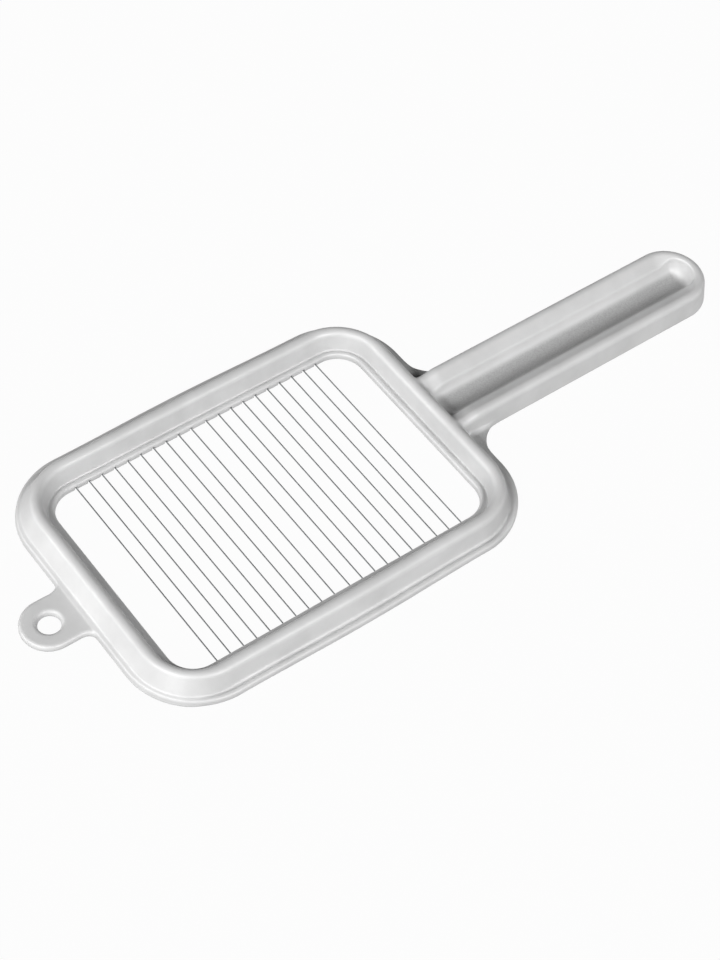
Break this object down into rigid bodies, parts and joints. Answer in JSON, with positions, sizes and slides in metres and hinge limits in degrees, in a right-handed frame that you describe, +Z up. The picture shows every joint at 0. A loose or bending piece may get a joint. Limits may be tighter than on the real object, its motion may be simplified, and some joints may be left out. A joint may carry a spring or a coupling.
{
  "type": "potato slicer",
  "caption": "Cast aluminium potato slicer: a ridged rectangular frame strung with parallel steel cutting wires, with a trough handle and a hanging ear.",
  "frame": {"origin": "middle of the overall box, on the plane of the casting's flat underside", "axes": "+X along the handle towards its tip, +Y across the window along the wires, +Z up out of the ridged top"},
  "size_m": [0.2792, 0.1106, 0.0091],
  "materials": {
    "cast_aluminium": "satin, fine-grained cast skin",
    "steel_wire": "drawn, bright"
  },
  "bodies": {
    "root": {"cast_frame": "cast_aluminium", "cutting_wire_01": "steel_wire", "cutting_wire_02": "steel_wire", "cutting_wire_03": "steel_wire", "cutting_wire_04": "steel_wire", "cutting_wire_05": "steel_wire", "cutting_wire_06": "steel_wire", "cutting_wire_07": "steel_wire", "cutting_wire_08": "steel_wire", "cutting_wire_09": "steel_wire", "cutting_wire_10": "steel_wire", "cutting_wire_11": "steel_wire", "cutting_wire_12": "steel_wire", "cutting_wire_13": "steel_wire", "cutting_wire_14": "steel_wire", "cutting_wire_15": "steel_wire", "cutting_wire_16": "steel_wire", "cutting_wire_17": "steel_wire", "cutting_wire_18": "steel_wire", "cutting_wire_19": "steel_wire", "cutting_wire_20": "steel_wire"}
  },
  "joints": []
}
